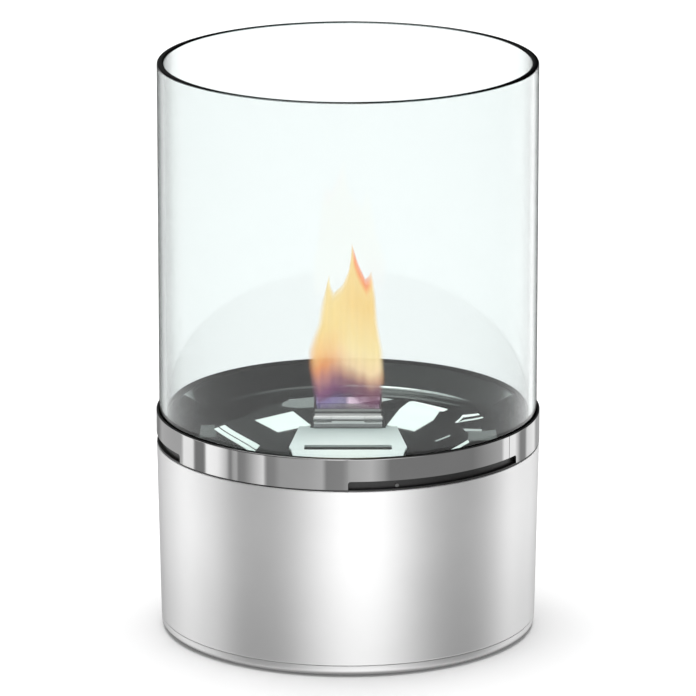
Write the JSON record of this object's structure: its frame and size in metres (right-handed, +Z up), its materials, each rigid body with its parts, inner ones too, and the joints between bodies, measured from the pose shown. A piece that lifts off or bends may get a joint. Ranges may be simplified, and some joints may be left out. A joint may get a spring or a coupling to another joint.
{
  "type": "tabletop fireplace",
  "caption": "Round tabletop fireplace: glass chimney in a polished notched ring, dark dish with a spirit burner and turn-over snuffer flap, on a satin metal drum.",
  "frame": {"origin": "underside of the foot mat, on the drum's axis", "axes": "+Z up along the drum and glass axis, -Y towards the front where the flap lies, +X to the right seen from the front"},
  "size_m": [0.14, 0.14, 0.211],
  "materials": {
    "foam_mat": "matt",
    "satin_steel": "satin",
    "plain_steel": "plain",
    "black_enamel": "satin",
    "polished_steel": "polished",
    "black_silicone": "satin",
    "clear_glass": "polished",
    "dark_mirror_steel": "mirror, darkened",
    "fibre_seal": "matt",
    "ceramic_wool": "fibrous",
    "flap_steel": "satin"
  },
  "bodies": {
    "base": {"base_mat": "foam_mat", "base_pan": "satin_steel", "base_drum": "satin_steel", "drum_lugs": "plain_steel", "pan_screws": "plain_steel"},
    "top": {"carrier_ring": "black_enamel", "spring_clips": "plain_steel", "clip_rivets": "plain_steel", "trim_ring": "polished_steel", "glass_gasket": "black_silicone", "fire_dish": "dark_mirror_steel", "dish_studs": "plain_steel", "dish_nuts": "plain_steel", "fuel_can": "plain_steel", "can_gasket": "fibre_seal", "can_studs": "plain_steel", "can_nuts": "plain_steel", "wool_fill": "ceramic_wool", "wick_strip": "ceramic_wool", "wick_screen": "plain_steel", "burner_collar": "flap_steel", "hinge_leaf": "flap_steel", "hinge_pin": "plain_steel"},
    "glass": {"glass_cylinder": "clear_glass"},
    "flap": {"snuffer_flap": "flap_steel"}
  },
  "joints": [
    {"name": "top_lift", "type": "slide", "parent": "base", "child": "top", "axis": [0, 0, 1], "range_m": [0, 0.06]},
    {"name": "glass_lift", "type": "slide", "parent": "top", "child": "glass", "axis": [0, 0, 1], "range_m": [0, 0.15]},
    {"name": "flap_hinge", "type": "hinge", "parent": "top", "child": "flap", "pos_m": [0, -0.01145, 0.08065], "axis": [-1, 0, 0], "range_deg": [0, 180]}
  ]
}
